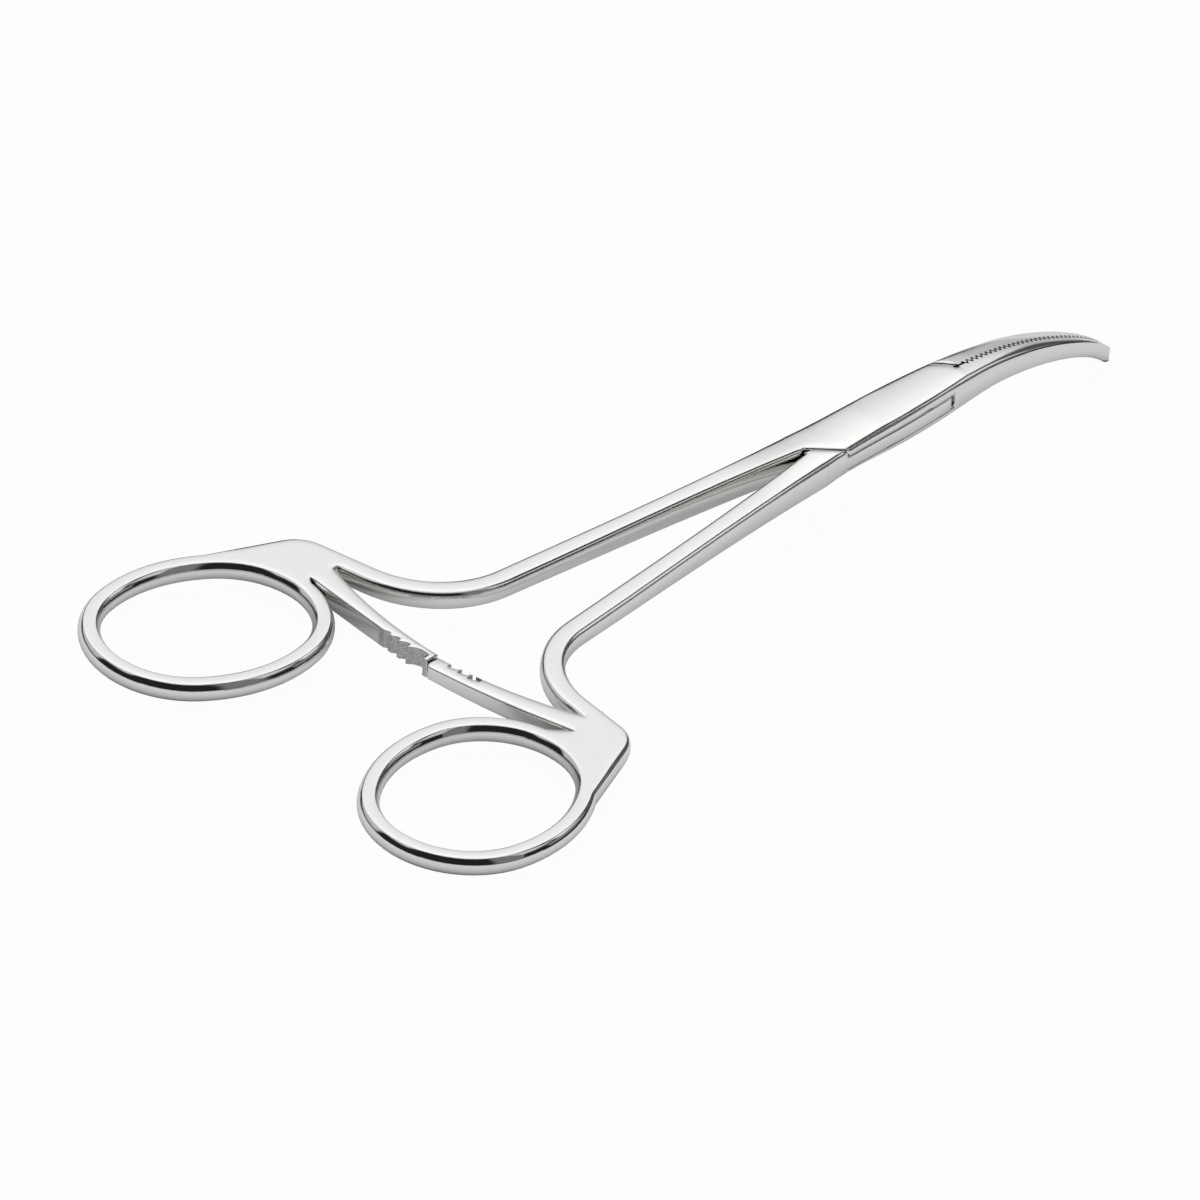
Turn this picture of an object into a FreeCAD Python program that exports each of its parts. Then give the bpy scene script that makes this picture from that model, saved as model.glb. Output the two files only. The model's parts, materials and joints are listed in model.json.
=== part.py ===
"""Curved box-lock hemostat forceps, 125 mm long, in millimetres.

Two interlocked halves turn on one flush pin. The female half carries the far finger ring, the
slotted box and the near jaw. The male half carries the near ring, the web inside the box and the
far jaw. Both are drawn in the instrument's own plane, with the pin at the origin, the tips along
+X and the female ring on +Y. At the end they are laid down as the instrument lies on a table: on
the ends of its rings and on the tips of its jaws, which curve down.
"""
import FreeCAD
import Part
import Sketcher
import math
import os
from FreeCAD import Placement, Rotation, Vector

doc = FreeCAD.newDocument("Hemostat")

# Driving dimensions, one named cell each: places are measured back, ahead or aside from the pin
DIMENSIONS = [
    # Finger rings: middle, turn, clear hole, band and its section
    ("ring_back", 77.3), ("ring_side", 18.65), ("ring_skew", 0.6), ("ring_tilt", 12.5),
    ("hole_long", 22.4), ("hole_wide", 18.35), ("ring_end_round", 8.6), ("ring_band", 1.47),
    ("ring_thick", 2.0), ("ring_bulge", 0.38), ("ring_bevel", 0.1),
    # Shanks: root in the box, waist, bend towards the ring and the flank's corner
    ("shank_root", 11.3), ("shank_root_side", 1.68), ("shank_root_width", 2.42),
    ("shank_root_thick", 2.95), ("waist_begin", 13.3), ("waist_end", 25.1), ("waist_width", 1.70),
    ("waist_neck_thick", 2.6), ("waist_thick", 2.25), ("shank_end_width", 1.78),
    ("shank_bevel", 0.22), ("shank_bulge", 0.14), ("head_skew", 0.45), ("bend_back", 57.9),
    ("bend_side", 6.05), ("bend_round", 10.6), ("corner_back", 60.35), ("corner_side", 21.75),
    ("corner_round", 2.7), ("corner_run", 0.5), ("flank_meets", 66.0), ("flank_end_width", 1.1),
    ("plate_meets", -4.0),
    # Ratchet arms: roots in the head plate, free ends, hooks and catches
    ("notch_back", 60.9), ("notch_side", 17.1), ("arm_root_width", 2.7), ("slot_side", 17.6),
    ("arm_thick", 2.0), ("arm_width", 1.85), ("arm_back", 64.15), ("arm_gap", 0.12), ("arm_sag", 0.75),
    ("hook_arm_bow", 0.08), ("catch_arm_bow", 0.4), ("arm_seat", 0.9), ("hook_width", 1.5),
    ("hook_pitch", 1.3), ("hook_start", 7.0), ("hook_deep", 0.95), ("hook_lap", 0.05),
    ("hook_belly_in", 0.68), ("hook_belly_up", 0.72), ("hook_foot", 0.16), ("hook_run_out", 1.1),
    ("catch_back", 0.35), ("catch_start", 1.95), ("catch_deep", 0.42), ("catch_open", 1.0),
    ("catch_end_round", 0.9), ("catch_thinned", 0.6),
    # Box lock: outer sizes, web and slot, slanted shoulders, pin
    ("box_thick", 3.3), ("box_root_width", 5.84), ("box_mid_width", 4.88), ("box_front_width", 3.95),
    ("box_bulge", 0.28), ("box_stock", 0.05), ("root_lap", 2.0), ("web_thick", 1.55),
    ("lock_play", 0.08), ("web_reach", 7.5), ("web_lap", 1.0), ("slot_reach", 8.25),
    ("room_lap", 0.5), ("crotch_back", 10.9), ("crotch_side", 0.3), ("wall_near_back", 7.8),
    ("wall_front", 9.3), ("seam_start", 11.1), ("shoulder_gap", 0.26), ("pin_diameter", 3.0),
    ("pin_play", 0.03),
    # Jaws: an easy curve and then a tight one, sizes at root, middle and tip, and the serrations
    ("jaw_start", 11.4), ("jaw_easy_round", 42.0), ("jaw_easy_turn", 25.0), ("jaw_tight_round", 18.2),
    ("jaw_end_turn", 44.0), ("jaw_root_width", 3.55), ("jaw_mid_width", 2.75), ("jaw_tip_width", 0.95),
    ("jaw_root_thick", 3.1), ("jaw_mid_thick", 2.1), ("jaw_tip_thick", 1.5), ("jaw_bulge", 0.26),
    ("tip_bevel", 0.12), ("tip_bulge", 0.12), ("tip_round", 0.75), ("tip_clear", 0.12),
    ("tip_nose", 0.7), ("tip_stock", 0.06),
    ("bite_pitch", 0.68), ("bite_deep", 0.5), ("bite_gap", 0.18), ("bite_margin", 0.9),
]

sheet = doc.addObject("Spreadsheet::Sheet", "Dims")
for row, (alias, value) in enumerate(DIMENSIONS, start=1):
    sheet.set(f"A{row}", alias)
    sheet.set(f"B{row}", str(value))
    sheet.setAlias(f"B{row}", alias)
doc.recompute()


def size(alias):
    return float(sheet.get(alias))


UP = Vector(0, 0, 1)
HOOKS = 4
CATCHES = 3
JAW_STATIONS = 7


def mirrored(shape):
    """The same form on the other side of the instrument's middle."""
    return shape.mirror(Vector(0, 0, 0), Vector(0, 1, 0))


def prism(outline, bottom, top):
    """A closed plan outline, given as a wire, raised between two heights."""
    face = Part.Face(outline)
    face.translate(Vector(0, 0, bottom))
    return face.extrude(Vector(0, 0, top - bottom))


def polygon(points):
    return Part.makePolygon([Vector(x, y, 0) for x, y in points + points[:1]])


def barrel(centre, along, rise, width, thick, bevel, bulge):
    """Section of polished bar stock: flat top and bottom, bevelled edges and rounded sides."""
    side = rise.cross(along).normalize()
    flat = width / 2
    high = thick / 2

    def at(across, up):
        return centre + side * across + rise * up

    def line(start, end):
        return Part.LineSegment(at(*start), at(*end)).toShape()

    def round_side(sign):
        edge = flat + bevel
        return Part.Arc(at(sign * edge, sign * (high - bevel)), at(sign * (edge + bulge), 0),
                        at(sign * edge, -sign * (high - bevel))).toShape()

    return Part.Wire([
        line((-flat, high), (flat, high)),
        line((flat, high), (flat + bevel, high - bevel)),
        round_side(1),
        line((flat + bevel, bevel - high), (flat, -high)),
        line((flat, -high), (-flat, -high)),
        line((-flat, -high), (-flat - bevel, bevel - high)),
        round_side(-1),
        line((-flat - bevel, high - bevel), (-flat, high)),
    ])


def rounded_path(points, radii):
    """Straight runs joined by tangent arcs, with one radius for each inner point."""
    edges = []
    start = points[0]
    for corner, following, radius in zip(points[1:-1], points[2:], radii):
        back = (start - corner).normalize()
        ahead = (following - corner).normalize()
        half = back.getAngle(ahead) / 2
        reach = radius / math.tan(half)
        middle = (back + ahead).normalize()
        bow = corner + middle * (radius / math.sin(half) - radius)
        if (corner + back * reach - start).Length > 0.01:
            edges.append(Part.LineSegment(start, corner + back * reach).toShape())
        edges.append(Part.Arc(corner + back * reach, bow, corner + ahead * reach).toShape())
        start = corner + ahead * reach
    edges.append(Part.LineSegment(start, points[-1]).toShape())
    return Part.Wire(edges)


def swept(path, section):
    """A bar of constant section along a flat path."""
    shell = Part.BRepOffsetAPI.MakePipeShell(path)
    shell.setBiNormalMode(UP)
    shell.add(section)
    shell.build()
    shell.makeSolid()
    return Part.Solid(shell.shape())


# Finger ring: a bar of barrel section round a four-arc oval, its long axis turned outwards
def ring_place(centre, along, across):
    """A point in the oval's own axes, the first along its long axis towards the box."""
    turn = math.radians(size("ring_tilt"))
    return centre + Vector(along * math.cos(turn) + across * math.sin(turn),
                           across * math.cos(turn) - along * math.sin(turn), 0)


def oval():
    """Middle line of the band: half length, half width, end radius, side radius and their centres."""
    middle = size("ring_band") / 2
    half_long = size("hole_long") / 2 + middle
    half_wide = size("hole_wide") / 2 + middle
    end_round = size("ring_end_round") + middle
    offset = half_long - end_round
    side_round = (offset ** 2 + half_wide ** 2 - end_round ** 2) / (2 * (half_wide - end_round))
    return half_long, half_wide, end_round, side_round, offset, side_round - half_wide


def ring_section(place, along):
    flat = size("ring_band") - 2 * size("ring_bevel")
    return barrel(place, along, UP, flat, size("ring_thick"), size("ring_bevel"), size("ring_bulge"))


def ring(centre):
    half_long, half_wide, end_round, side_round, offset, drop = oval()
    angle = math.atan2(drop, offset)
    corner_long = offset + end_round * math.cos(angle)
    corner_wide = end_round * math.sin(angle)

    def arc(*places):
        return Part.Arc(*[ring_place(centre, *place) for place in places]).toShape()

    path = Part.Wire([
        arc((corner_long, -corner_wide), (half_long, 0), (corner_long, corner_wide)),
        arc((corner_long, corner_wide), (0, half_wide), (-corner_long, corner_wide)),
        arc((-corner_long, corner_wide), (-half_long, 0), (-corner_long, -corner_wide)),
        arc((-corner_long, -corner_wide), (0, -half_wide), (corner_long, -corner_wide)),
    ])
    first = path.OrderedEdges[0]
    start = first.valueAt(first.FirstParameter)
    return swept(path, ring_section(start, first.tangentAt(first.FirstParameter)))


# Shank: a tapering bar from the box to the bend, an even bar round the bend and the flank's
# corner, and a last run that crosses into the ring's band
def shank_root():
    return Vector(-size("shank_root"), size("shank_root_side"), 0)


def bend_corner(skew):
    return Vector(skew - size("bend_back"), size("bend_side"), 0)


def flank_corner(skew):
    return Vector(skew - size("corner_back"), size("corner_side") + skew, 0)


def flank_touch(centre):
    """Where the flank runs into the ring's band, on the band's outer front quarter."""
    half_long, half_wide = oval()[:2]
    turn = math.radians(size("flank_meets"))
    return ring_place(centre, half_long * math.cos(turn), half_wide * math.sin(turn))


def shank(ring_centre, skew):
    root = shank_root()
    corner = bend_corner(skew)
    along = (corner - root).normalize()
    flank = flank_corner(skew)
    upward = (flank - corner).normalize()
    bend_start = corner - along * (size("bend_round") * math.tan(along.getAngle(upward) / 2))
    touch = flank_touch(ring_centre)
    outward = (touch - flank).normalize()
    turned = size("corner_round") * math.tan(upward.getAngle(outward) / 2)
    flank_start = flank + outward * (turned + size("corner_run"))
    bevel = size("shank_bevel")
    bulge = size("shank_bulge")
    waist = size("waist_width")

    def section(place, heading, width, thick):
        return barrel(place, heading, UP, width, thick, bevel, bulge)

    taper = Part.makeLoft([
        section(root, along, size("shank_root_width"), size("shank_root_thick")),
        section(root + along * size("waist_begin"), along, waist, size("waist_neck_thick")),
        section(root + along * size("waist_end"), along, waist, size("waist_thick")),
        section(bend_start, along, size("shank_end_width"), size("ring_thick")),
    ], True, False)
    path = rounded_path([bend_start, corner, flank, flank_start],
                        [size("bend_round"), size("corner_round")])
    bend = swept(path, section(bend_start, along, size("shank_end_width"), size("ring_thick")))
    run_in = Part.makeLoft([
        section(flank_start, outward, size("shank_end_width"), size("ring_thick")),
        section(touch, outward, size("flank_end_width"), size("ring_thick")),
    ], True, True)
    return [taper, bend, run_in]


def arm_root():
    """The end of the notch beside the shank, and the end of the slot beside the ring."""
    return (Vector(-size("notch_back"), size("notch_side"), 0),
            Vector(-size("notch_back") - size("arm_root_width"), size("slot_side"), 0))


# Head plate: joins ring, flank, shank and ratchet arm in one flat piece
def head_plate(centre, skew):
    half_long, half_wide = oval()[:2]
    thick = size("ring_thick")
    touch = flank_touch(centre)
    flank = flank_corner(skew)
    inset = size("shank_bevel")
    first = size("plate_meets")

    def on_band(degrees):
        turn = math.radians(degrees)
        return ring_place(centre, half_long * math.cos(turn), half_wide * math.sin(turn))

    apex, slot_end = arm_root()
    shank_side = Vector(-size("notch_back") + size("shank_end_width"), size("notch_side"), 0)
    corner = flank - Vector(inset, inset, 0)
    outline = Part.Wire([
        Part.LineSegment(apex, slot_end).toShape(),
        Part.LineSegment(slot_end, on_band(first)).toShape(),
        Part.Arc(on_band(first), on_band((first + size("flank_meets")) / 2), touch).toShape(),
        Part.LineSegment(touch, corner).toShape(),
        Part.LineSegment(corner, shank_side).toShape(),
        Part.LineSegment(shank_side, apex).toShape(),
    ])
    return prism(outline, -thick / 2, thick / 2)


# Ratchet arms: they run from the head plates towards each other and end face to face
def arm(front, width, bow):
    """Curved arm in plan: front is the place of its front edge at the free end."""
    thick = size("arm_thick")
    root_front, root_back = arm_root()
    into_plate = Vector(0, size("arm_seat"), 0)
    end_front = Vector(-front, size("arm_gap"), 0)
    end_back = end_front - Vector(width, 0, 0)
    front_middle = (root_front + end_front) * 0.5 - Vector(size("arm_sag"), 0, 0)
    back_middle = (root_back + end_back) * 0.5 - Vector(bow, 0, 0)
    outline = Part.Wire([
        Part.Arc(root_front, front_middle, end_front).toShape(),
        Part.LineSegment(end_front, end_back).toShape(),
        Part.Arc(end_back, back_middle, root_back).toShape(),
        Part.LineSegment(root_back, root_back + into_plate).toShape(),
        Part.LineSegment(root_back + into_plate, root_front + into_plate).toShape(),
        Part.LineSegment(root_front + into_plate, root_front).toShape(),
    ])
    return prism(outline, -thick / 2, thick / 2)


def hook_cuts(back_edge):
    """Scoops on the ring side of the female arm, which leave teeth that point to its root."""
    deep = size("hook_deep")
    foot = size("hook_foot")
    outside = Vector(-back_edge - size("arm_width"), 0, 0)
    edge = Vector(-back_edge, 0, 0)
    cuts = []
    for count in range(HOOKS):
        low = size("hook_start") - size("hook_pitch") * (count + 1)
        high = low + size("hook_pitch") + size("hook_lap")
        low_end = low - (size("hook_run_out") if count == HOOKS - 1 else 0)
        tooth = edge + Vector(0, high, 0)
        belly = edge + Vector(size("hook_belly_in"), low + size("hook_belly_up"), 0)
        floor = edge + Vector(deep, low_end + foot, 0)
        tip = edge + Vector(0, low_end, 0)
        outline = Part.Wire([
            Part.LineSegment(outside + Vector(0, high, 0), tooth).toShape(),
            Part.Arc(tooth, belly, floor).toShape(),
            Part.LineSegment(floor, tip).toShape(),
            Part.LineSegment(tip, outside + Vector(0, low_end, 0)).toShape(),
            Part.LineSegment(outside + Vector(0, low_end, 0), outside + Vector(0, high, 0)).toShape(),
        ])
        cuts.append(prism(outline, -size("arm_thick"), size("arm_thick")))
    return cuts


def catch_cuts(front_edge):
    """Small notches on the front of the male arm, where the hooks catch."""
    deep = size("catch_deep")
    cuts = []
    for count in range(CATCHES):
        wall = size("catch_start") + size("hook_pitch") * count
        cuts.append(prism(polygon([
            (-front_edge - deep, wall),
            (-front_edge + deep, wall),
            (-front_edge + deep, wall + size("catch_open")),
            (-front_edge, wall + size("catch_open")),
        ]), -size("arm_thick"), size("arm_thick")))
    return cuts


def end_round_cut(back_edge):
    """The corner taken off the ring side of the male arm's free end."""
    radius = size("catch_end_round")
    low = size("arm_gap")
    corner = Vector(-back_edge, low, 0)
    middle = corner + Vector(radius, radius, 0) - Vector(radius, radius, 0).normalize() * radius
    up_side = corner + Vector(0, radius, 0)
    along_end = corner + Vector(radius, 0, 0)
    outline = Part.Wire([
        Part.Arc(up_side, middle, along_end).toShape(),
        Part.LineSegment(along_end, along_end - Vector(0, radius, 0)).toShape(),
        Part.LineSegment(along_end - Vector(0, radius, 0), corner - Vector(radius, radius, 0)).toShape(),
        Part.LineSegment(corner - Vector(radius, radius, 0), up_side - Vector(radius, 0, 0)).toShape(),
        Part.LineSegment(up_side - Vector(radius, 0, 0), up_side).toShape(),
    ])
    return prism(outline, -size("arm_thick"), size("arm_thick"))


def thinning_cut():
    """The wedge ground off under the male arm, which grows thinner towards its free end."""
    start = Vector(-2 * size("arm_back"), size("notch_side"), -size("arm_thick") / 2)
    end = Vector(start.x, 0, start.z + size("catch_thinned"))
    below = Vector(start.x, 0, -size("arm_thick"))
    face = Part.Face(Part.makePolygon([start, end, below, start]))
    return face.extrude(Vector(2 * size("arm_back"), 0, 0))


def joined(pieces):
    whole = pieces[0].multiFuse(pieces[1:]).removeSplitter()
    return whole.Solids[0]


def handle(ring_centre, skew, ratchet_arm):
    pieces = shank(ring_centre, skew)
    return joined(pieces + [ring(ring_centre), head_plate(ring_centre, skew), ratchet_arm])


# Nose: the box and both closed jaws as one tapering bar, straight and then curved down
def nose_place(angle):
    """Middle of the jaws where their curve has turned by this many degrees."""
    easy = size("jaw_easy_round")
    tight = size("jaw_tight_round")
    first = math.radians(min(angle, size("jaw_easy_turn")))
    forward = size("jaw_start") + easy * math.sin(first)
    drop = easy * (1 - math.cos(first))
    if angle > size("jaw_easy_turn"):
        second = math.radians(angle)
        forward += tight * (math.sin(second) - math.sin(first))
        drop += tight * (math.cos(first) - math.cos(second))
    return Vector(forward, 0, -drop)


def nose_frame(angle):
    turn = math.radians(angle)
    return Vector(math.cos(turn), 0, -math.sin(turn)), Vector(math.sin(turn), 0, math.cos(turn))


def jaw_share(angle):
    """How far along the jaws an angle of their curve lies, 0 at the root and 1 at the tips."""
    easy = size("jaw_easy_round") * math.radians(min(angle, size("jaw_easy_turn")))
    tight = size("jaw_tight_round") * math.radians(max(angle - size("jaw_easy_turn"), 0))
    return (easy + tight) / jaw_length()


def jaw_length():
    easy = size("jaw_easy_round") * math.radians(size("jaw_easy_turn"))
    return easy + size("jaw_tight_round") * math.radians(size("jaw_end_turn") - size("jaw_easy_turn"))


def jaw_angle(reach):
    """Turn of the curve at this distance from the root of the jaws."""
    easy = size("jaw_easy_round") * math.radians(size("jaw_easy_turn"))
    if reach < easy:
        return math.degrees(reach / size("jaw_easy_round"))
    return size("jaw_easy_turn") + math.degrees((reach - easy) / size("jaw_tight_round"))


def blend(root, middle, tip, share):
    """A smooth curve through three sizes."""
    return (root * (1 - share) * (1 - 2 * share) + middle * 4 * share * (1 - share)
            + tip * share * (2 * share - 1))


def nose():
    bevel = size("shank_bevel")
    stock = size("box_stock")
    lap = size("root_lap")
    back = -size("shank_root")
    slope = (size("box_mid_width") - size("box_root_width")) / size("shank_root")

    def station(place, width, thick, edge, bulge):
        return barrel(Vector(place, 0, 0), Vector(1, 0, 0), UP, width, thick, edge, bulge)

    sections = [
        station(back - lap, size("box_root_width") - lap * slope, size("shank_root_thick"), bevel,
                size("shank_bulge")),
        station(back, size("box_root_width"), size("shank_root_thick"), bevel, size("shank_bulge")),
        station(0, size("box_mid_width"), size("box_thick") + 2 * stock, bevel + stock, size("box_bulge")),
        station(size("wall_front"), size("box_front_width"), size("box_thick") + 2 * stock,
                bevel + stock, size("box_bulge")),
    ]
    for step in range(1, JAW_STATIONS + 1):
        share = step / JAW_STATIONS
        angle = jaw_angle(jaw_length() * share)
        along, rise = nose_frame(angle)
        width = blend(size("jaw_root_width"), size("jaw_mid_width"), size("jaw_tip_width"), share)
        thick = blend(size("jaw_root_thick"), size("jaw_mid_thick"), size("jaw_tip_thick"), share)
        edge = bevel + (size("tip_bevel") - bevel) * share
        bulge = size("jaw_bulge") + (size("tip_bulge") - size("jaw_bulge")) * share
        sections.append(barrel(nose_place(angle), along, rise, width, thick, edge, bulge))
    return Part.makeLoft(sections, True, False)


def ground_plan():
    """Plan of the nose with its rounded end, as high as the ground top of the box."""
    far = size("box_root_width")
    end = nose_place(size("jaw_end_turn")).x
    half = size("jaw_tip_width") / 2 + size("tip_bevel") + size("tip_bulge") + size("tip_clear")
    begin = end - size("tip_round")
    outline = Part.Wire([
        Part.LineSegment(Vector(begin, far, 0), Vector(-3 * far, far, 0)).toShape(),
        Part.LineSegment(Vector(-3 * far, far, 0), Vector(-3 * far, -far, 0)).toShape(),
        Part.LineSegment(Vector(-3 * far, -far, 0), Vector(begin, -far, 0)).toShape(),
        Part.LineSegment(Vector(begin, -far, 0), Vector(begin, -half, 0)).toShape(),
        Part.Arc(Vector(begin, -half, 0), Vector(end, 0, 0), Vector(begin, half, 0)).toShape(),
        Part.LineSegment(Vector(begin, half, 0), Vector(begin, far, 0)).toShape(),
    ])
    return prism(outline, -4 * far, size("box_thick") / 2)


def tip_profile():
    """Round end of the jaws in profile: its top, end, bottom, middle and radius."""
    deep = size("tip_nose")
    share = 1 - (deep + size("tip_stock")) / jaw_length()
    angle = jaw_angle(jaw_length() * share)
    along, rise = nose_frame(angle)
    half = blend(size("jaw_root_thick"), size("jaw_mid_thick"), size("jaw_tip_thick"), share) / 2
    middle = nose_place(angle)
    radius = (half ** 2 + deep ** 2) / (2 * deep)
    centre = middle + along * (deep - radius)
    return middle + rise * half, middle + along * deep, middle - rise * half, centre, radius


def tip_off():
    """What is ground off the tips, above, before and below their round end."""
    top, end, bottom = tip_profile()[:3]
    wide = size("box_root_width")
    along, rise = nose_frame(size("jaw_end_turn"))
    corners = [bottom, bottom - rise * wide, bottom + (along - rise) * wide, top + (along + rise) * wide,
               top + rise * wide, top]
    edges = [Part.LineSegment(start, stop).toShape() for start, stop in zip(corners, corners[1:])]
    face = Part.Face(Part.Wire([Part.Arc(top, end, bottom).toShape()] + edges))
    face.translate(Vector(0, -wide, 0))
    return face.extrude(Vector(0, 2 * wide, 0))


def ground_off():
    """What grinding takes off under the box."""
    far = size("box_root_width")
    length = 3 * far + size("jaw_start")
    return Part.makeBox(length, 2 * far, far, Vector(-3 * far, -far, -far - size("box_thick") / 2))


# Serrations: grooves across both bites, square to the curve of the jaws, interleaved
def bite_grooves(toward, shift):
    """Grooves cut into the jaw on this side of the seam, and the plain bites before and after them."""
    pitch = size("bite_pitch")
    half_deep = size("bite_deep") / 2
    gap = size("bite_gap") / 2
    first = size("seam_start") - size("jaw_start") + size("bite_margin")
    count = int((jaw_length() - first - size("bite_margin")) / pitch)
    reach = size("jaw_root_thick")
    side = Vector(0, toward, 0)

    def cutter(distance, corners):
        """A prism square to the curve; corners are distances along it and depths into the jaw."""
        angle = jaw_angle(distance)
        along, rise = nose_frame(angle)
        origin = nose_place(angle) - rise * reach
        points = [origin + along * ahead + side * deep for ahead, deep in corners]
        return Part.Face(Part.makePolygon(points + points[:1])).extrude(rise * 2 * reach)

    groove = [(-pitch / 2, gap - half_deep), (pitch / 2, gap - half_deep), (0, gap + half_deep)]
    grooves = [cutter(first + pitch * (number + shift), groove) for number in range(count)]
    plain = size("bite_margin") + pitch
    before = first + pitch * (shift - 0.25)
    after = first + pitch * (count - 1 + shift + 0.25)
    for distance, run in ((before, -plain), (after, 2 * plain)):
        grooves.append(cutter(distance, [(0, gap), (run, gap), (run, -half_deep), (0, -half_deep)]))
    return Part.makeCompound(grooves)


def bites():
    """Plan limits of the jaws: seam gap, lap of the teeth, a wide margin, start and end."""
    gap = size("bite_gap") / 2
    begin = size("seam_start") + size("bite_margin") / 2
    end = nose_place(size("jaw_end_turn")).x + size("box_root_width")
    return gap, size("bite_deep") / 2 - gap, size("box_root_width"), begin, end


def shoulder(clear):
    """Two points on the slanted front edge of the box's walls, and on its rear edge turned round."""
    low = Vector(size("seam_start"), 0, 0)
    high = Vector(size("wall_front"), size("box_front_width") / 2, 0)
    along = (high - low).normalize()
    square = Vector(along.y, -along.x, 0)
    return low + square * clear, along


def slant_at(side, clear):
    point, along = shoulder(clear)
    return point.x + along.x * (side - point.y) / along.y


def male_jaw_space(clear):
    gap, lap, wide, begin, end = bites()
    return prism(polygon([(slant_at(wide, clear), wide), (slant_at(gap, clear), gap), (begin, gap),
                          (begin, -lap), (end, -lap), (end, wide)]), -5 * wide, wide)


def female_jaw_limit():
    gap, lap, wide, begin, end = bites()
    return prism(polygon([(slant_at(wide, 0), wide), (slant_at(-gap, 0), -gap), (begin, -gap),
                          (begin, lap), (end, lap), (end, wide)]), -5 * wide, wide)


def rear_slant(clear):
    """The slanted rear edge of the box's walls, moved back by a clearance."""
    crotch = Vector(-size("crotch_back"), size("crotch_side"), 0)
    corner = Vector(-size("wall_near_back"), -size("box_root_width") / 2, 0)
    along = (corner - crotch).normalize()
    back = Vector(along.y, -along.x, 0)
    return crotch + back * clear, along


def rear_at(side, clear):
    point, along = rear_slant(clear)
    return point.x + along.x * (side - point.y) / along.y


def male_root_space(clear, side):
    """Plan of the male shank where it enters the box, in front of its own root face."""
    wide = size("box_root_width")
    back = -size("shank_root") - wide
    return prism(polygon([(rear_at(side, clear), side), (rear_at(-wide, clear), -wide),
                          (back, -wide), (back, side)]), -wide, wide)


def behind_root(skew):
    """Everything behind the face where the shank meets the nose."""
    root = shank_root()
    along = (bend_corner(skew) - root).normalize()
    across = Vector(-along.y, along.x, 0)
    wide = size("box_root_width")
    corners = [root + across * wide, root - across * wide,
               root - across * wide + along * wide, root + across * wide + along * wide]
    return prism(polygon([(point.x, point.y) for point in corners]), -wide, wide)


def add_shape(name, shape):
    part = doc.addObject("Part::Feature", name)
    part.Shape = shape
    return part


def add_box(name, length, width, height, x, y, z):
    box = doc.addObject("Part::Box", name)
    for prop, formula in (("Length", length), ("Width", width), ("Height", height),
                          ("Placement.Base.x", x), ("Placement.Base.y", y), ("Placement.Base.z", z)):
        box.setExpression(prop, formula)
    return box


def add_fuse(name, parts):
    fuse = doc.addObject("Part::MultiFuse", name)
    fuse.Shapes = parts
    return fuse


def add_cut(name, base, tool):
    cut = doc.addObject("Part::Cut", name)
    cut.Base = base
    cut.Tool = tool
    return cut


bar = nose().common(ground_plan()).cut(ground_off()).cut(tip_off())

# Female half: far ring and shank, the two walls of the box, near jaw
far_ring = Vector(size("ring_skew") - size("ring_back"), size("ring_side") + size("ring_skew"), 0)
hook_arm = arm(size("arm_back"), size("hook_width"), size("hook_arm_bow"))
for cut in hook_cuts(size("arm_back") + size("hook_width")):
    hook_arm = hook_arm.cut(cut)
female_nose = bar.cut(male_root_space(0, size("crotch_side"))).cut(behind_root(size("head_skew")))
female_nose = female_nose.cut(female_jaw_limit()).cut(bite_grooves(-1, 0.5))
far_handle = handle(far_ring, size("head_skew"), hook_arm)
female_blank = add_shape("FemaleBlank", joined([far_handle, female_nose]))

slot_height = "Dims.web_thick + 2 * Dims.lock_play"
slot_floor = "-Dims.web_thick / 2 - Dims.lock_play"
slot = add_fuse("Slot", [
    add_box("SlotMiddle", "2 * Dims.slot_reach", "2 * Dims.box_root_width", slot_height,
            "-Dims.slot_reach", "-Dims.box_root_width", slot_floor),
    add_box("SlotFront", "Dims.box_root_width", "2 * Dims.box_root_width", slot_height,
            "Dims.slot_reach - Dims.room_lap", "-Dims.bite_gap / 2", slot_floor),
    add_box("SlotRear", "Dims.box_root_width", "2 * Dims.box_root_width", slot_height,
            "Dims.room_lap - Dims.slot_reach - Dims.box_root_width",
            "Dims.bite_gap / 2 - 2 * Dims.box_root_width", slot_floor),
])
slotted = add_cut("FemaleSlotted", female_blank, slot)
pin_hole = doc.addObject("Part::Cylinder", "PinHole")
pin_hole.setExpression("Radius", "Dims.pin_diameter / 2")
pin_hole.setExpression("Height", "2 * Dims.box_thick")
pin_hole.setExpression("Placement.Base.z", "-Dims.box_thick")
female_half = add_cut("FemaleHalf", slotted, pin_hole)

# Male half: near ring and shank, the web that passes through the box, far jaw
near_ring = Vector(-size("ring_skew") - size("ring_back"), size("ring_side") - size("ring_skew"), 0)
catch_arm = arm(size("arm_back") + size("catch_back"), size("arm_width"), size("catch_arm_bow"))
catch_arm = catch_arm.cut(end_round_cut(size("arm_back") + size("catch_back") + size("arm_width")))
catch_arm = catch_arm.cut(thinning_cut())
for cut in catch_cuts(size("arm_back") + size("catch_back")):
    catch_arm = catch_arm.cut(cut)
male_behind = mirrored(behind_root(-size("head_skew")))
root_space = male_root_space(size("shoulder_gap"), -size("crotch_side") / 2)
root_block = bar.common(root_space).cut(male_behind)
male_jaw = bar.common(male_jaw_space(size("shoulder_gap"))).cut(bite_grooves(1, 0))
web_bar = add_shape("WebBar", bar.cut(male_behind))
web_height = "Dims.web_thick"
web_floor = "-Dims.web_thick / 2"
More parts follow.
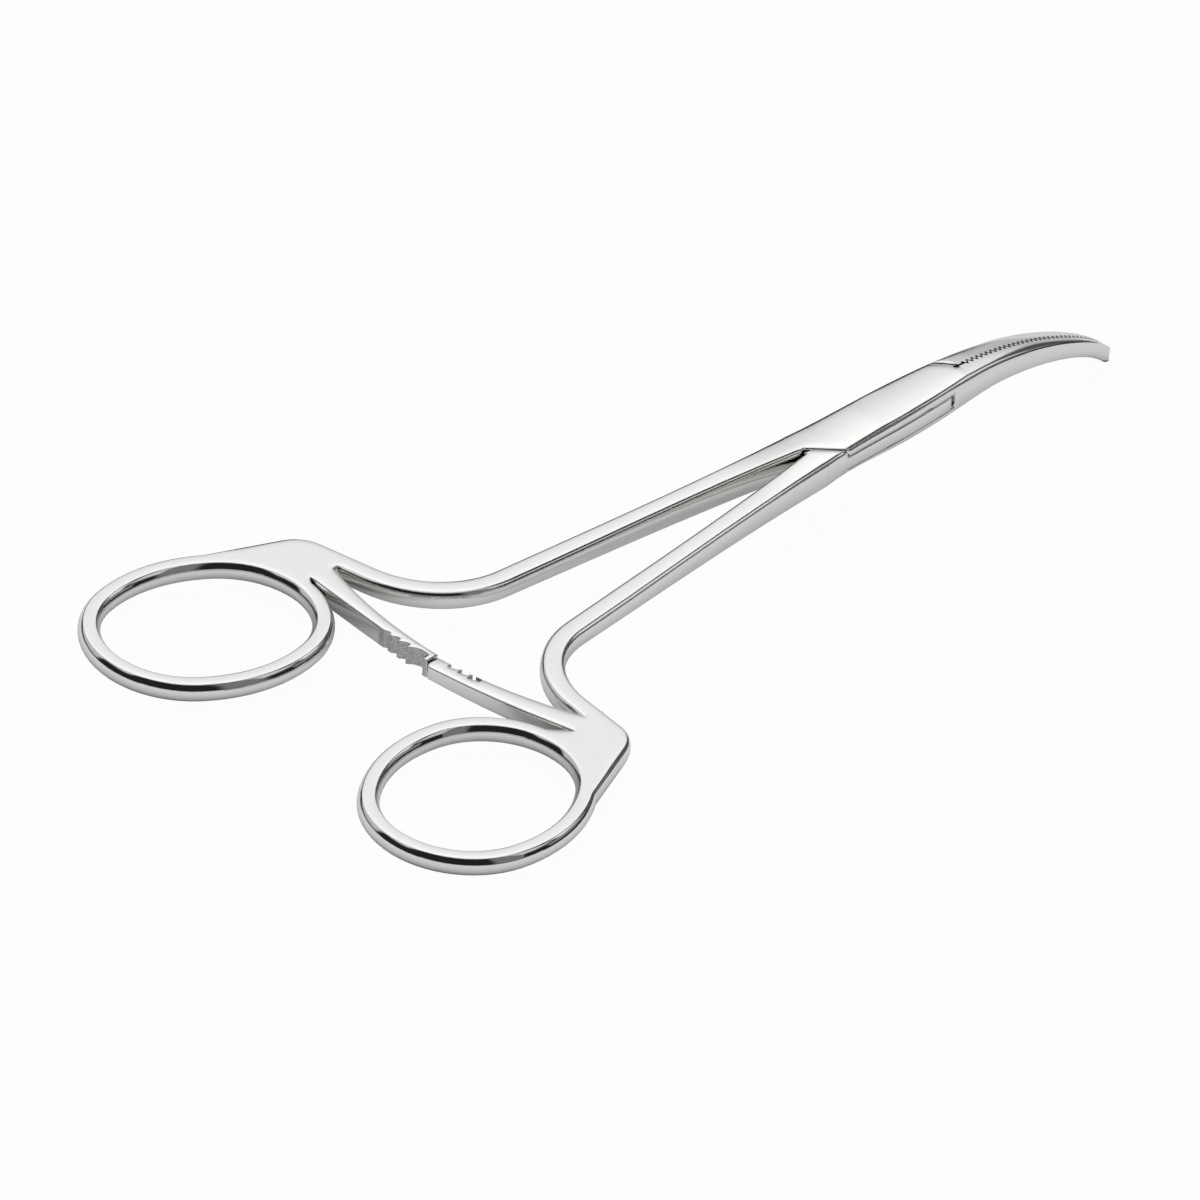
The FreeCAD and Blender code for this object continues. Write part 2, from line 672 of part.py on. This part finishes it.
web_room = add_fuse("WebRoom", [
    add_box("WebMiddle", "2 * Dims.web_reach", "2 * Dims.box_root_width", web_height,
            "-Dims.web_reach", "-Dims.box_root_width", web_floor),
    add_box("WebFront", "Dims.jaw_start - Dims.web_reach + Dims.web_lap + Dims.room_lap",
            "2 * Dims.box_root_width", web_height, "Dims.web_reach - Dims.room_lap",
            "Dims.bite_gap / 2", web_floor),
    add_box("WebRear", "Dims.shank_root - Dims.web_reach + Dims.web_lap + Dims.room_lap",
            "2 * Dims.box_root_width", web_height, "-Dims.shank_root - Dims.web_lap",
            "-Dims.bite_gap / 2 - 2 * Dims.box_root_width", web_floor),
])
web = doc.addObject("Part::Common", "Web")
web.Base = web_bar
web.Tool = web_room
near_handle = mirrored(handle(near_ring, -size("head_skew"), catch_arm))
male_handle = add_shape("MaleHandle", joined([near_handle, root_block]))
male_jaw_part = add_shape("MaleJaw", male_jaw)
male_blank = add_fuse("MaleBlank", [male_handle, web, male_jaw_part])
male_bore = doc.addObject("Part::Cylinder", "MaleBore")
male_bore.setExpression("Radius", "Dims.pin_diameter / 2 + Dims.pin_play")
male_bore.setExpression("Height", "2 * Dims.box_thick")
male_bore.setExpression("Placement.Base.z", "-Dims.box_thick")
male_half = add_cut("MaleHalf", male_blank, male_bore)

# Pivot pin: pressed into both walls of the box and ground flush with them
pin = doc.addObject("PartDesign::Body", "LockPin")
plane = next(item for item in pin.Origin.OriginFeatures if item.Role == "XY_Plane")
section = pin.newObject("Sketcher::SketchObject", "PinSection")
section.AttachmentSupport = [(plane, "")]
section.MapMode = "FlatFace"
section.addGeometry(Part.Circle(Vector(0, 0, 0), UP, size("pin_diameter") / 2))
section.addConstraint(Sketcher.Constraint("Coincident", 0, 3, -1, 1))
radius = section.addConstraint(Sketcher.Constraint("Radius", 0, size("pin_diameter") / 2))
section.setExpression(f"Constraints[{radius}]", "Dims.pin_diameter / 2")
pad = pin.newObject("PartDesign::Pad", "PinLength")
pad.Profile = section
pad.Midplane = True
pad.setExpression("Length", "Dims.box_thick")
doc.recompute()

# The instrument lies on the ends of its rings and the tips of its jaws
nodes = {"female_half": female_half, "male_half": male_half, "lock_pin": pin}
whole = Part.makeCompound([node.Shape for node in nodes.values()])
ring_end = Vector(whole.optimalBoundingBox(False, False).XMin, 0, -size("ring_thick") / 2)
tip_middle, tip_radius = tip_profile()[3:]
tip_low = tip_middle - UP * tip_radius
pitch = math.degrees(math.atan2(ring_end.z - tip_low.z, tip_low.x - ring_end.x))
lean = Placement(Vector(0, 0, 0), Rotation(Vector(0, 1, 0), -pitch))
tilted = whole.copy()
tilted.Placement = lean
box = tilted.optimalBoundingBox(False, False)
shift = Vector(-(box.XMin + box.XMax) / 2, -(box.YMin + box.YMax) / 2, -box.ZMin)
rest = Placement(shift, lean.Rotation)
for name, node in nodes.items():
    node.Label = name
    node.Placement = rest
doc.recompute()

for item in doc.Objects:
    assert not {"Invalid", "Error"} & set(item.State), item.Name
for name, node in nodes.items():
    assert not node.Shape.isNull() and node.Shape.isValid(), name
    print(name, len(node.Shape.Solids), "solid", round(node.Shape.Volume, 2), "mm3")
print("pivot", rest.multVec(Vector(0, 0, 0)), "axis", lean.Rotation.multVec(UP), "pitch", round(pitch, 3))
print("overall", [round(v, 2) for v in (box.XLength, box.YLength, box.ZLength)])
os.makedirs("parts", exist_ok=True)
for name, node in nodes.items():
    node.Shape.exportStep(f"parts/{name}.step")
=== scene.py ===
"""Looks of the curved hemostat forceps: two polished stainless halves on one flush pin."""
import json
import math

import bpy
from mathutils import Matrix, Vector

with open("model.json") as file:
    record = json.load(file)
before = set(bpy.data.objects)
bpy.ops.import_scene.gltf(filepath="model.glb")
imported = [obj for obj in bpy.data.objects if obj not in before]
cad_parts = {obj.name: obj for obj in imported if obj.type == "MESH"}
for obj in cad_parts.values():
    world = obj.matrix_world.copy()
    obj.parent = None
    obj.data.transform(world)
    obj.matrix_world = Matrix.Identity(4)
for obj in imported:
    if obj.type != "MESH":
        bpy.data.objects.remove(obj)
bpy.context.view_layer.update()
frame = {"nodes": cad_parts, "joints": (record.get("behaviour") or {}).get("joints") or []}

# Axes of the instrument, read from its joint: the pin runs along up, the jaws point along ahead.
# The closed instrument lies on its ring ends and tips, so its plane leans a little on the table.
hinge = frame["joints"][0]
pin_centre = Vector(hinge["pos_m"])
up = Vector(hinge["axis"]).normalized()
side = Vector((0, 1, 0))
ahead = side.cross(up).normalized()


def linear(hex_colour):
    """sRGB hex to the linear colour that shaders take."""
    channels = [int(hex_colour[start:start + 2], 16) / 255 for start in (1, 3, 5)]
    return tuple(c / 12.92 if c <= 0.04045 else ((c + 0.055) / 1.055) ** 2.4 for c in channels) + (1.0,)


def add(tree, kind, settings=None, **inputs):
    """Adds a node, sets its options, and links or fills its inputs: i0 is the first of them."""
    node = tree.nodes.new(kind)
    for name, value in (settings or {}).items():
        setattr(node, name, value)
    for name, value in inputs.items():
        numbered = name[0] == "i" and name[1:].isdigit()
        socket = node.inputs[int(name[1:]) if numbered else name.replace("_", " ")]
        if isinstance(value, bpy.types.NodeSocket):
            tree.links.new(value, socket)
        else:
            socket.default_value = value
    return node


def new_material(name):
    material = bpy.data.materials.new(name)
    material.use_nodes = True
    material.node_tree.nodes.clear()
    return material


# Female and male half: forged martensitic stainless steel, ground, then polished on a soft wheel
# to a bright finish. The eye sees clear reflections, edges that the wheel rounded, and fine marks,
# which run lengthwise and are drawn coarser than they are, so that they show.
polish_tone = linear("#F4F3F1")
polish_rough = (0.03, 0.07)
mark_pitch_mm = 0.35
mark_stretch = 0.06
ripple_mm = 7.0
# Rounding of the edges on the rings and on the bars, and of a wider crown that is mixed with it
wheel_round_mm = (0.2, 0.45)
crown_mm = (1.2, 1.6)
crown_share = 0.2
rings_end_mm = -67.0
bars_start_mm = -65.5
pin_radius_mm = 1.5
jaws_start_mm = 11.2
bite_half_mm = 0.35


def place_on_instrument(tree, place):
    """Metres ahead of and aside from the pin, and the whole offset from the pin."""
    offset = add(tree, "ShaderNodeVectorMath", {"operation": "SUBTRACT"}, i0=place,
                 i1=pin_centre).outputs["Vector"]
    ahead_of, aside_of = [add(tree, "ShaderNodeVectorMath", {"operation": "DOT_PRODUCT"}, i0=offset,
                              i1=axis).outputs["Value"] for axis in (ahead, side)]
    return ahead_of, aside_of, offset


def wheel_rounding(tree, place, ring_mm, bar_mm):
    """The normal with the edges rounded, less on the rings, and not at the pin or the bites."""
    ahead_of, aside_of, offset = place_on_instrument(tree, place)
    around = add(tree, "ShaderNodeVectorMath", {"operation": "CROSS_PRODUCT"}, i0=offset, i1=up)
    reach = add(tree, "ShaderNodeVectorMath", {"operation": "LENGTH"},
                i0=around.outputs["Vector"]).outputs["Value"]
    off_pin = add(tree, "ShaderNodeMath", {"operation": "SUBTRACT", "use_clamp": True}, i0=reach,
                  i1=pin_radius_mm / 1000).outputs[0]
    wanted = add(tree, "ShaderNodeMapRange", Value=ahead_of, From_Min=rings_end_mm / 1000,
                 From_Max=bars_start_mm / 1000, To_Min=ring_mm / 1000,
                 To_Max=bar_mm / 1000).outputs["Result"]
    from_seam = add(tree, "ShaderNodeMath", {"operation": "ABSOLUTE"}, i0=aside_of).outputs[0]
    behind_jaws = add(tree, "ShaderNodeMath", {"operation": "LESS_THAN"}, i0=ahead_of,
                      i1=jaws_start_mm / 1000).outputs[0]
    off_bites = add(tree, "ShaderNodeMath", {"operation": "SUBTRACT", "use_clamp": True},
                    i0=from_seam, i1=bite_half_mm / 1000).outputs[0]
    free = add(tree, "ShaderNodeMath", {"operation": "MAXIMUM"}, i0=behind_jaws,
               i1=off_bites).outputs[0]
    beside_pin = add(tree, "ShaderNodeMath", {"operation": "MINIMUM"}, i0=off_pin,
                     i1=wanted).outputs[0]
    radius = add(tree, "ShaderNodeMath", {"operation": "MINIMUM"}, i0=beside_pin, i1=free).outputs[0]
    return add(tree, "ShaderNodeBevel", {"samples": 16}, Radius=radius).outputs["Normal"]


# The wheel left the box a little crowned and the jaws more: each row says where the crown starts
# and where it is full, in millimetres ahead of the pin, and how far the normal leans per millimetre
box_crown = (-20.0, -12.0, 0.047)
jaw_crown = (11.0, 22.0, 0.2)


def crowned(tree, place, normal):
    """The normal leant outwards, more with the distance from the middle of the box and jaws."""
    ahead_of, aside_of = place_on_instrument(tree, place)[:2]
    box_lean, jaw_lean = [
        add(tree, "ShaderNodeMapRange", Value=ahead_of, From_Min=start / 1000, From_Max=full / 1000,
            To_Max=per_mm * 1000).outputs["Result"] for start, full, per_mm in (box_crown, jaw_crown)]
    rate = add(tree, "ShaderNodeMath", {"operation": "ADD"}, i0=box_lean, i1=jaw_lean).outputs[0]
    lean = add(tree, "ShaderNodeMath", {"operation": "MULTIPLY"}, i0=aside_of, i1=rate).outputs[0]
    outwards = add(tree, "ShaderNodeVectorMath", {"operation": "SCALE"}, i0=side,
                   Scale=lean).outputs["Vector"]
    leant = add(tree, "ShaderNodeVectorMath", {"operation": "ADD"}, i0=normal,
                i1=outwards).outputs["Vector"]
    return add(tree, "ShaderNodeVectorMath", {"operation": "NORMALIZE"}, i0=leant).outputs["Vector"]


# Bites: painted shade on the grooves across the jaws, on their walls and on the rounded brinks of the
# grooves. The closed seam shows as a dark saw line, and the walls greyer when the jaws are open.
bite_reach_mm = 0.7
brink_mm = 0.16
brink_bend = 0.97
brink_shade = 0.75
wall_below = 0.6
wall_shade = 0.45


def bite_shade(tree, place):
    """How much painted shade the walls and brinks of the bites get, counted as less openness."""
    ahead_of, aside_of = place_on_instrument(tree, place)[:2]
    from_seam = add(tree, "ShaderNodeMath", {"operation": "ABSOLUTE"}, i0=aside_of).outputs[0]
    in_jaws = add(tree, "ShaderNodeMath", {"operation": "GREATER_THAN"}, i0=ahead_of,
                  i1=jaws_start_mm / 1000).outputs[0]
    at_seam = add(tree, "ShaderNodeMath", {"operation": "LESS_THAN"}, i0=from_seam,
                  i1=bite_reach_mm / 1000).outputs[0]
    bites = add(tree, "ShaderNodeMath", {"operation": "MULTIPLY"}, i0=in_jaws, i1=at_seam).outputs[0]
    # painted shade: walls and rounded brinks near the seam count as more closed, so the steel's colour
    # darkens there
    face = add(tree, "ShaderNodeNewGeometry").outputs["True Normal"]
    facing = add(tree, "ShaderNodeVectorMath", {"operation": "DOT_PRODUCT"}, i0=face,
                 i1=up).outputs["Value"]
    wall = add(tree, "ShaderNodeMath", {"operation": "LESS_THAN"}, i0=facing, i1=wall_below).outputs[0]
    brink_normal = add(tree, "ShaderNodeBevel", {"samples": 8}, Radius=brink_mm / 1000).outputs["Normal"]
    bend = add(tree, "ShaderNodeVectorMath", {"operation": "DOT_PRODUCT"}, i0=face,
               i1=brink_normal).outputs["Value"]
    brink = add(tree, "ShaderNodeMath", {"operation": "LESS_THAN"}, i0=bend, i1=brink_bend).outputs[0]
    on_wall = add(tree, "ShaderNodeMath", {"operation": "MULTIPLY"}, i0=wall, i1=wall_shade).outputs[0]
    on_brink = add(tree, "ShaderNodeMath", {"operation": "MULTIPLY"}, i0=brink,
                   i1=brink_shade).outputs[0]
    deeper = add(tree, "ShaderNodeMath", {"operation": "MAXIMUM"}, i0=on_wall, i1=on_brink).outputs[0]
    most = add(tree, "ShaderNodeMath", {"operation": "MULTIPLY_ADD"}, i0=wall, i1=wall_shade - 1,
               i2=1.0).outputs[0]
    shade = add(tree, "ShaderNodeMath", {"operation": "MINIMUM"}, i0=deeper, i1=most).outputs[0]
    return add(tree, "ShaderNodeMath", {"operation": "MULTIPLY"}, i0=bites, i1=shade).outputs[0]


# Narrow gaps: painted shade. Little light comes out of them, so the steel's colour is painted darker with
# how closed they are
painted_gap_shade = linear("#1C1B1A")
gap_mm = 0.45
gap_closed = 0.15
gap_open = 0.7


def polished_surface(tree, place):
    """Roughness, normal and tone of the polished steel, the tone with painted shade in narrow gaps and in
    the bites.
    """
    along = add(tree, "ShaderNodeMapping", Vector=place, Scale=(mark_stretch, 1.0, 1.0)).outputs["Vector"]
    marks = add(tree, "ShaderNodeTexNoise", Vector=along, Scale=1000 / mark_pitch_mm,
                Detail=3.0).outputs["Fac"]
    ripple = add(tree, "ShaderNodeTexNoise", Vector=place, Scale=1000 / ripple_mm,
                 Detail=1.0).outputs["Fac"]
    rough = add(tree, "ShaderNodeMapRange", Value=marks, From_Min=0.3, From_Max=0.7,
                To_Min=polish_rough[0], To_Max=polish_rough[1]).outputs["Result"]
    rounded = add(tree, "ShaderNodeMix", {"data_type": "VECTOR"}, i0=crown_share,
                  i4=wheel_rounding(tree, place, *wheel_round_mm),
                  i5=wheel_rounding(tree, place, *crown_mm)).outputs[1]
    waves = add(tree, "ShaderNodeBump", Height=ripple, Strength=0.25, Distance=0.00003,
                Normal=crowned(tree, place, rounded)).outputs["Normal"]
    normal = add(tree, "ShaderNodeBump", Height=marks, Strength=0.03, Distance=0.00002,
                 Normal=waves).outputs["Normal"]
    # painted shade: the colour darkens with the occlusion of narrow gaps and with the bites' painted
    # shade
    openness = add(tree, "ShaderNodeAmbientOcclusion", {"samples": 6}, Distance=gap_mm / 1000)
    in_light = add(tree, "ShaderNodeMath", {"operation": "SUBTRACT"}, i0=openness.outputs["AO"],
                   i1=bite_shade(tree, place)).outputs[0]
    clear = add(tree, "ShaderNodeMapRange", Value=in_light, From_Min=gap_closed,
                From_Max=gap_open).outputs["Result"]
    tone = add(tree, "ShaderNodeMix", {"data_type": "RGBA"}, i0=clear, i6=painted_gap_shade,
               i7=polish_tone).outputs[2]
    return rough, normal, tone


# Ratchet teeth: their walls and floors were blasted with glass beads before the arms' flats were
# polished, so they are an even matt grey between bright edges. The zone is a box round each row of
# teeth, in millimetres ahead of and aside from the pin, and only its upright faces are blasted.
blast_tone = linear("#A3A2A0")
frost_tone = linear("#FFFEFC")
blast_rough = 0.5
bead_mm = 0.09
hook_zone = ((-67.0, -63.6), (0.2, 7.2))
catch_zone = ((-64.9, -63.7), (-6.0, -1.6))
flat_from = 0.80


def zone_mask(tree, places, zone):
    """1 inside the box round a row of teeth."""
    inside = None
    for value, (low, high) in zip(places, zone):
        for limit, operation in ((low, "GREATER_THAN"), (high, "LESS_THAN")):
            test = add(tree, "ShaderNodeMath", {"operation": operation}, i0=value,
                       i1=limit / 1000).outputs[0]
            if inside is None:
                inside = test
            else:
                inside = add(tree, "ShaderNodeMath", {"operation": "MULTIPLY"}, i0=inside,
                             i1=test).outputs[0]
    return inside


def instrument_steel(name, zone):
    """Polished steel, blasted on the upright faces of one row of teeth."""
    material = new_material(name)
    tree = material.node_tree
    coordinates = add(tree, "ShaderNodeTexCoord")
    place = coordinates.outputs["Object"]
    rough, normal, tone = polished_surface(tree, place)
    bright = add(tree, "ShaderNodeBsdfPrincipled", Base_Color=tone, Metallic=1.0, Roughness=rough,
                 Normal=normal)
    beads = add(tree, "ShaderNodeTexNoise", Vector=place, Scale=1000 / bead_mm,
                Detail=2.0).outputs["Fac"]
    pits = add(tree, "ShaderNodeBump", Height=beads, Strength=1.0, Distance=0.00004).outputs["Normal"]
    grain = add(tree, "ShaderNodeMapRange", Value=beads, From_Min=0.35,
                From_Max=0.65).outputs["Result"]
    frost = add(tree, "ShaderNodeMix", {"data_type": "RGBA"}, i0=grain, i6=blast_tone,
                i7=frost_tone).outputs[2]
    blasted = add(tree, "ShaderNodeBsdfPrincipled", Base_Color=frost, Metallic=1.0,
                  Roughness=blast_rough, Normal=pits)
    tilt = add(tree, "ShaderNodeVectorMath", {"operation": "DOT_PRODUCT"},
               i0=coordinates.outputs["Normal"], i1=up).outputs["Value"]
    flatness = add(tree, "ShaderNodeMath", {"operation": "ABSOLUTE"}, i0=tilt).outputs[0]
    upright = add(tree, "ShaderNodeMath", {"operation": "LESS_THAN"}, i0=flatness,
                  i1=flat_from).outputs[0]
    in_zone = zone_mask(tree, place_on_instrument(tree, place)[:2], zone)
    teeth = add(tree, "ShaderNodeMath", {"operation": "MULTIPLY"}, i0=in_zone, i1=upright).outputs[0]
    finish = add(tree, "ShaderNodeMixShader", i0=teeth, i1=bright.outputs["BSDF"],
                 i2=blasted.outputs["BSDF"])
    add(tree, "ShaderNodeOutputMaterial", Surface=finish.outputs["Shader"])
    return material


for name, zone in (("female_half", hook_zone), ("male_half", catch_zone)):
    half = frame["nodes"][name]
    half.data.materials.clear()
    half.data.materials.append(instrument_steel("polished martensitic stainless steel, " + name, zone))

# Lock pin: stainless rod pressed into both walls of the box, ground flush with them and polished
# over with them, so that its ends disappear in the flats.


def ground_pin():
    material = new_material("stainless rod, ground flush and polished over")
    tree = material.node_tree
    place = add(tree, "ShaderNodeTexCoord").outputs["Object"]
    rough, normal, tone = polished_surface(tree, place)
    shader = add(tree, "ShaderNodeBsdfPrincipled", Base_Color=tone, Metallic=1.0, Roughness=rough,
                 Normal=normal)
    add(tree, "ShaderNodeOutputMaterial", Surface=shader.outputs["BSDF"])
    return material


pin = frame["nodes"]["lock_pin"]
pin.data.materials.clear()
pin.data.materials.append(ground_pin())

# Camera: a long lens from the near left, above, turned a little, as for a catalogue picture.
view_azimuth = math.radians(50.07)
view_elevation = math.radians(34.09)
view_roll = math.radians(5.0)
frame_width_mm = 118.17
pixel_mm = frame_width_mm / 1200
pin_right_px = 280.5
pin_above_px = 179.2
camera_distance = 4.0

flat_back = -(ahead * math.sin(view_azimuth) + side * math.cos(view_azimuth))
back = flat_back * math.cos(view_elevation) + up * math.sin(view_elevation)
level_right = ahead * math.cos(view_azimuth) - side * math.sin(view_azimuth)
level_up = back.cross(level_right)
right = level_right * math.cos(view_roll) + level_up * math.sin(view_roll)
above = level_up * math.cos(view_roll) - level_right * math.sin(view_roll)
aim = pin_centre - (right * pin_right_px + above * pin_above_px) * pixel_mm / 1000

camera_data = bpy.data.cameras.new("camera")
camera_data.sensor_width = 36.0
camera_data.lens = camera_data.sensor_width * camera_distance * 1000 / frame_width_mm
camera_data.clip_end = 20.0
camera = bpy.data.objects.new("camera", camera_data)
bpy.context.scene.collection.objects.link(camera)
camera_turn = Matrix((right, above, back)).transposed().to_4x4()
camera.matrix_world = Matrix.Translation(aim + back * camera_distance) @ camera_turn
bpy.context.scene.camera = camera
bpy.context.scene.view_settings.view_transform = "Standard"

# Studio: a dark room with soft panels, as bright steel is photographed. Angles are in degrees,
# azimuth from the tips' direction towards the far side. Behind the camera the room is darkest.
room_light = 0.02
brightens_from = 20
brightest_from = 46
far_light = (0.62, 1.4)
world = bpy.data.worlds.new("studio")
bpy.context.scene.world = world
world.use_nodes = True
sky = world.node_tree
sky.nodes.clear()
direction = add(sky, "ShaderNodeSeparateXYZ", Vector=add(sky, "ShaderNodeTexCoord").outputs["Generated"])
turn = add(sky, "ShaderNodeMath", {"operation": "ARCTAN2"}, i0=direction.outputs["Y"],
           i1=direction.outputs["X"])
climb = add(sky, "ShaderNodeMath", {"operation": "ARCSINE"}, i0=direction.outputs["Z"])


def window(angle, low, high, soft):
    """1 where an angle lies between two limits, with soft edges."""
    rise = add(sky, "ShaderNodeMapRange", {"interpolation_type": "SMOOTHSTEP"}, Value=angle,
               From_Min=math.radians(low - soft), From_Max=math.radians(low + soft)).outputs["Result"]
    fall = add(sky, "ShaderNodeMapRange", {"interpolation_type": "SMOOTHSTEP"}, Value=angle,
               From_Min=math.radians(high - soft), From_Max=math.radians(high + soft), To_Min=1.0,
               To_Max=0.0).outputs["Result"]
    return add(sky, "ShaderNodeMath", {"operation": "MULTIPLY"}, i0=rise, i1=fall).outputs[0]


def panel(azimuths, elevations, soft, low_light, high_light):
    """A soft light over a range of azimuth and elevation, which may brighten upwards."""
    strength = add(sky, "ShaderNodeMapRange", Value=climb.outputs[0],
                   From_Min=math.radians(brightens_from), From_Max=math.radians(brightest_from),
                   To_Min=low_light, To_Max=high_light).outputs["Result"]
    shape = add(sky, "ShaderNodeMath", {"operation": "MULTIPLY"},
                i0=window(turn.outputs[0], *azimuths, soft),
                i1=window(climb.outputs[0], *elevations, soft)).outputs[0]
    return add(sky, "ShaderNodeMath", {"operation": "MULTIPLY"}, i0=shape, i1=strength).outputs[0]


panels = [
    # Far side, in front of the camera: they whiten the flats
    panel((43, 84), (19, 67), 3, *far_light),
    panel((22, 43), (-20, 67), 3, *far_light),
    # Low on the tips' side: faint, for the dark bands of the jaws
    panel((-14, 22), (-20, 44), 3, 0.08, 0.08),
    # Far left, above the dark that the ratchet arms' edges show
    panel((84, 124), (8, 67), 4, 0.6, 0.8),
    panel((124, 158), (38, 67), 6, 0.5, 0.8),
    # Near right: the light line along the bars' near edges, its dim skirt, and light for the back
    panel((-39, -14), (26, 46), 2, 0.85, 1.1),
    panel((-74, -44), (32, 62), 3, 0.7, 0.7),
    panel((-52, -14), (13, 26), 2, 0.25, 0.25),
    # Overhead
    panel((-200, 200), (67, 120), 3, 0.9, 0.9),
    # Camera's side: the bright skirting below the dark, and a dim sheet to its right
    panel((-200, -58), (-20, 4), 1, 0.55, 0.55),
    panel((-104, -74), (6, 60), 5, 0.2, 0.2),
]
light = room_light
for one in panels:
    light = add(sky, "ShaderNodeMath", {"operation": "ADD"}, i0=one, i1=light).outputs[0]
paths = add(sky, "ShaderNodeLightPath")
shown = add(sky, "ShaderNodeMix", {"data_type": "FLOAT"}, Factor=paths.outputs["Is Camera Ray"],
            A=light, B=1.0)
backdrop = add(sky, "ShaderNodeBackground", Strength=shown.outputs["Result"])
add(sky, "ShaderNodeOutputWorld", Surface=backdrop.outputs["Background"])

# Floor: a white matt table, shown as the plain white ground of the picture with a faint shadow.
# In the steel it shows as a light grey glowing sheet, with painted shade where the instrument stands over
# it.
floor_radius = 6.0
floor_gap = 0.00005
floor_sides = 48
shade_reach = 0.012
white_share = 0.97
sheet_share = 0.85
floor_mesh = bpy.data.meshes.new("floor")
floor_mesh.from_pydata(
    [(floor_radius * math.cos(a), floor_radius * math.sin(a), -floor_gap)
     for a in [2 * math.pi * step / floor_sides for step in range(floor_sides)]],
    [], [tuple(range(floor_sides))])
floor = bpy.data.objects.new("floor", floor_mesh)
bpy.context.scene.collection.objects.link(floor)
table = new_material("white matt table")
tree = table.node_tree
matt = add(tree, "ShaderNodeBsdfDiffuse", Color=linear("#F2F2F2"))
glow = add(tree, "ShaderNodeEmission", Color=(1, 1, 1, 1), Strength=1.0)
rays = add(tree, "ShaderNodeLightPath")
share = add(tree, "ShaderNodeMath", {"operation": "MULTIPLY"}, i0=rays.outputs["Is Camera Ray"],
            i1=white_share).outputs[0]
ground = add(tree, "ShaderNodeMixShader", i0=share, i1=matt.outputs["BSDF"],
             i2=glow.outputs["Emission"])
# painted shade: the glowing sheet that the steel mirrors is darkened by occlusion where the instrument
# stands over it
painted_sheet_shade = add(tree, "ShaderNodeAmbientOcclusion", {"samples": 8}, Color=linear("#DCDCDC"),
                 Distance=shade_reach)
sheet = add(tree, "ShaderNodeEmission", Color=painted_sheet_shade.outputs["Color"], Strength=1.0)
mirrored = add(tree, "ShaderNodeMath", {"operation": "MULTIPLY"}, i0=rays.outputs["Is Glossy Ray"],
               i1=sheet_share).outputs[0]
seen = add(tree, "ShaderNodeMixShader", i0=mirrored, i1=ground.outputs["Shader"],
           i2=sheet.outputs["Emission"])
add(tree, "ShaderNodeOutputMaterial", Surface=seen.outputs["Shader"])
floor_mesh.materials.append(table)
